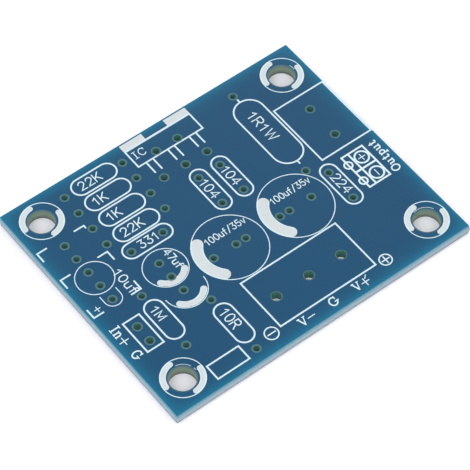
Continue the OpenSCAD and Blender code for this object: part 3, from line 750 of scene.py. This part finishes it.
# %% [markdown]
# The pen draws a stroke as a flat ribbon with round ends and mitred corners, then pulls its outline down to
# the mask, so that the ink has a thickness. Ink never flows quite evenly, so the width wavers a little, by
# chance but seeded, which makes every run the same. Each next stroke lies a hair higher, because two faces
# in exactly one plane would flicker where strokes cross. Curves with a bevel could draw strokes as well, but
# they would be round like wire, and ink is flat.

# %% The pen
chance = random.Random(7)
INK_SPREAD = 0.06
STROKE_LIFT = 0.0004
SHARPEST = 0.5
CAP_STEPS = 6
MEETS = 1e-6


def side_step(points, i, closed):
    """Sideways direction at a point of a stroke, longer at a corner so that both sides keep their width."""
    n = len(points)
    before = points[i] - points[(i - 1) % n] if closed or i > 0 else points[1] - points[0]
    after = points[(i + 1) % n] - points[i] if closed or i < n - 1 else points[-1] - points[-2]
    normals = [Vector((-way.y, way.x)).normalized() for way in (before, after)]
    middle = (normals[0] + normals[1]).normalized()
    return middle / max(middle.dot(normals[0]), SHARPEST)


def draw_stroke(ink, points, width, height):
    """Adds one stroke to a mesh of ink; points in millimetres."""
    points = [Vector(point) for point in points]
    closed = (points[0] - points[-1]).length < MEETS
    if closed:
        points.pop()
    sides = []
    for i, point in enumerate(points):
        step = side_step(points, i, closed) * width / 2 * (1 + chance.uniform(-INK_SPREAD, INK_SPREAD))
        sides.append([ink.verts.new((*(point + way * step), height)) for way in (1, -1)])
    pairs = list(zip(sides, sides[1:] + sides[:1] if closed else sides[1:]))
    faces = [ink.faces.new((a[1], b[1], b[0], a[0])) for a, b in pairs]
    for end, way in () if closed else ((0, -1), (-1, 1)):
        faces.append(round_end(ink, points[end], sides[end], width, way, height))
    rim = [edge for face in faces for edge in face.edges if len(edge.link_faces) == 1]
    walls = bmesh.ops.extrude_edge_only(ink, edges=list(set(rim)))["geom"]
    for item in walls:
        if isinstance(item, bmesh.types.BMVert):
            item.co.z = TOP


def round_end(ink, point, side, width, way, height):
    """Half-round cap on the end of a stroke."""
    left = side[0].co.xy - point
    start = math.atan2(left.y, left.x)
    turns = [start - way * math.pi * i / CAP_STEPS for i in range(1, CAP_STEPS)]
    arc = [ink.verts.new((*(point + Vector((math.cos(a), math.sin(a))) * width / 2), height)) for a in turns]
    ring = [side[0], *arc, side[1]]
    return ink.faces.new(ring if way < 0 else ring[::-1])


def print_piece(name, strokes):
    """One printed piece from strokes of (points, width)."""
    ink = bmesh.new()
    for i, (points, width) in enumerate(strokes):
        draw_stroke(ink, points, width, INK_TOP + STROKE_LIFT * (i + 1))
    bmesh.ops.scale(ink, verts=ink.verts, vec=(MM, MM, MM))
    bmesh.ops.recalc_face_normals(ink, faces=ink.faces)
    mesh = bpy.data.meshes.new(name)
    ink.to_mesh(mesh)
    ink.free()
    mesh.materials.append(LETTER_INK)
    return add_piece(name, mesh)


print("pen ready")

# %% [markdown]
# The labels name the values of the components and the terminals. Each is given as the box that it fills on
# the board, in millimetres, and the way it reads. Fitting the signs to the box, rather than choosing a size
# by eye, puts every label where the print has it.

# %% Labels
PLAIN_LINE = 0.15
SERIF_LINE = 0.19
LIGHT = 0.68
GAP = 0.24
GAP_AFTER = {"1": 0.36}
SMALL_LINE = 0.125
RESISTOR_ROW = 3
BYPASS_COLUMN = 3.4


def write(name, words, letters, turn, x_from, x_to, y_from, y_to, line=None):
    """Writes words into a box: turn 0 reads along +X, -90 down the board and 90 up it."""
    line = line or (PLAIN_LINE if letters is PLAIN else SERIF_LINE)
    wide, tall = x_to - x_from - line, y_to - y_from - line
    length, height = (wide, tall) if turn == 0 else (tall, wide)
    steps = [letters[sign][0] + GAP_AFTER.get(sign, GAP) for sign in words]
    natural = sum(steps) - GAP_AFTER.get(words[-1], GAP)
    corner = Vector({0: (x_from, y_from), -90: (x_from, y_to), 90: (x_to, y_from)}[turn])
    turned = Matrix.Rotation(math.radians(turn), 2)
    strokes, along = [], 0
    for sign, step in zip(words, steps):
        for weight, paths in zip((1, LIGHT), letters[sign][1:]):
            for points in paths:
                flat = [Vector(((along + u) * length / natural, v * height)) for u, v in points]
                inset = Vector((line / 2, line / 2))
                strokes.append(([corner + turned @ (inset + point) for point in flat], line * weight))
        along += step
    return print_piece(name, strokes)


for i, value in enumerate(("22K", "1K", "1K", "22K")):
    x_start, x_end = (-12.25, -8.95) if value == "22K" else (-12.2, -10.22)
    row = RESISTOR_ROW * i
    write(f"label_resistor_{i + 1}", value, PLAIN, 0, x_start, x_end, 15.34 - row, 16.78 - row)
write("label_filter_capacitor", "331", PLAIN, 0, -11.62, -8.88, 3.57, 4.93)
for i in (0, 1):
    column = BYPASS_COLUMN * i
    write(f"label_bypass_capacitor_{i + 1}", "104", PLAIN, -90, -0.05 + column, 1.4 + column, 4.3, 7.45)
write("label_damper_resistor", "1R1W", PLAIN, -90, 11.3, 12.85, 7.05, 12.22)
write("label_damper_capacitor", "224", PLAIN, -90, 13.63, 15.05, -5.26, -2.0)
write("label_bleed_resistor", "1M", PLAIN, -90, -16.38, -15.05, -6.3, -4.2)
write("label_ground_link", "10R", PLAIN, -90, -10.0, -8.45, -12.78, -9.7)
write("label_input_capacitor", "10uf", PLAIN, -90, -16.72, -15.38, -1.05, 3.03)
write("label_feedback_capacitor", "47uf", PLAIN, -90, -9.96, -8.8, -1.45, 1.75)
write("label_reservoir_1", "100uf/35v", PLAIN, 0, -4.92, 1.22, -1.06, 0.04, SMALL_LINE)
write("label_reservoir_2", "100uf/35v", PLAIN, 0, 5.4, 11.47, -1.06, 0.04, SMALL_LINE)
write("label_amplifier", "IC", SERIF, 0, -3.95, -2.08, 15.2, 16.43, 0.13)
write("label_input", "In+", SERIF, -90, -22.05, -20.6, -6.7, -3.6)
write("label_input_ground", "G", SERIF, -90, -22.07, -20.62, -9.2, -7.95)
write("label_negative", "V-", SERIF, 0, -3.18, -0.75, -17.67, -16.35)
write("label_ground", "G", SERIF, 0, 1.58, 2.98, -17.67, -16.28)
write("label_positive", "V+", SERIF, 0, 5.28, 7.78, -17.67, -16.35)
write("label_output", "Output", SERIF, 90, 20.67, 21.97, -6.4, -0.7)

# %% [markdown]
# Signs of polarity stand beside the input capacitor and the supply terminal, most of them in a circle. They
# could be characters of the lettering, but they are larger and lie free of any word, so each is a few strokes
# round its own middle.

# %% Signs
def circle(x, y, r):
    """A closed round stroke."""
    return bow(x, y, r, r, 0, 360, 36)


def cross(x, y, arm):
    """The two strokes of a plus."""
    return [[(x - arm, y), (x + arm, y)], [(x, y - arm), (x, y + arm)]]


def box_lines(x_from, x_to, y_from, y_to):
    """A closed stroke round a box."""
    return [(x_from, y_from), (x_to, y_from), (x_to, y_to), (x_from, y_to), (x_from, y_from)]


def with_line(width, strokes):
    """Gives strokes one width."""
    return [(points, width) for points in strokes]


print_piece("sign_input_plus", with_line(0.11, cross(-21.24, -0.27, 0.4)))
print_piece("sign_negative", with_line(0.17, [circle(-6.63, -16.02, 0.9), [(-7.2, -16.02), (-6.06, -16.02)]]))
print_piece("sign_positive", with_line(0.17, [circle(11.22, -16.06, 0.82), *cross(11.22, -16.06, 0.55)]))
print_piece("sign_tick", with_line(0.12, [[(7.42, -16.66), (7.77, -16.3)]]))
print("signs of polarity")

# %% [markdown]
# Near the output label is a little drawing of a screw terminal, seen from above: a box in two halves, each
# with a screw, its polarity and a wire entry. A picture could carry it, but would blur up close, and the pen
# has all that it needs: straight lines, circles and the two signs.

# %% Drawing of the output terminal
TERMINAL_LEFT, TERMINAL_RIGHT = 16.76, 20.1
TERMINAL_LOW, TERMINAL_HIGH = -6.25, -0.55
TERMINAL_STEP = 17.8
TERMINAL_MIDDLE = -3.42
SCREW_X, SCREW_RADIUS = 18.95, 0.93
SCREWS_Y = (-1.95, -4.97)
ENTRY_RADIUS = 0.54
MARK_LINE, MARK_ARM = 0.12, 0.5

terminal = with_line(0.25, [
    box_lines(TERMINAL_LEFT, TERMINAL_RIGHT, TERMINAL_LOW, TERMINAL_HIGH),
    [(TERMINAL_STEP, TERMINAL_LOW), (TERMINAL_STEP, TERMINAL_HIGH)],
])
terminal += with_line(0.29, [[(TERMINAL_LEFT, TERMINAL_MIDDLE), (TERMINAL_RIGHT, TERMINAL_MIDDLE)]])
for y in SCREWS_Y:
    rounds = [circle(SCREW_X, y, SCREW_RADIUS), circle(TERMINAL_LEFT, y - 0.02, ENTRY_RADIUS)]
    terminal += with_line(0.24, rounds)
plus_y, minus_y = SCREWS_Y
terminal += with_line(MARK_LINE, cross(SCREW_X, plus_y, MARK_ARM))
terminal += with_line(MARK_LINE, [[(SCREW_X, minus_y - MARK_ARM), (SCREW_X, minus_y + MARK_ARM)]])
print_piece("sign_output_terminal", terminal)
print("output drawing:", len(terminal), "strokes")

# %% [markdown]
# Thin arcs of ink lie close round three of the mounting holes, where a ring of the print was meant to start.
# A whole ring could be drawn and cut, but only the arcs that are there are worth drawing, so each is given by
# the angles between which it shows.

# %% Arcs beside the mounting holes
ARC_RADIUS = 1.95
ARC_LINE = 0.055
ARC_SHIFT_X, ARC_SHIFT_Y = 0.08, 0.06
ARC_STEPS = 12
RING_STARTS = {
    "front_left": (-MOUNT_X, -MOUNT_Y, [(24, 80), (0, 10)]),
    "front_right": (MOUNT_X, -MOUNT_Y, [(25, 106)]),
    "back_right": (MOUNT_X, MOUNT_Y, [(-5, 20)]),
}
for corner, (x, y, spans) in RING_STARTS.items():
    middle = (x + ARC_SHIFT_X, y + ARC_SHIFT_Y)
    arcs = [bow(*middle, ARC_RADIUS, ARC_RADIUS, start, end, ARC_STEPS) for start, end in spans]
    print_piece(f"ring_start_{corner}", with_line(ARC_LINE, arcs))
print("arcs beside", len(RING_STARTS), "mounting holes")
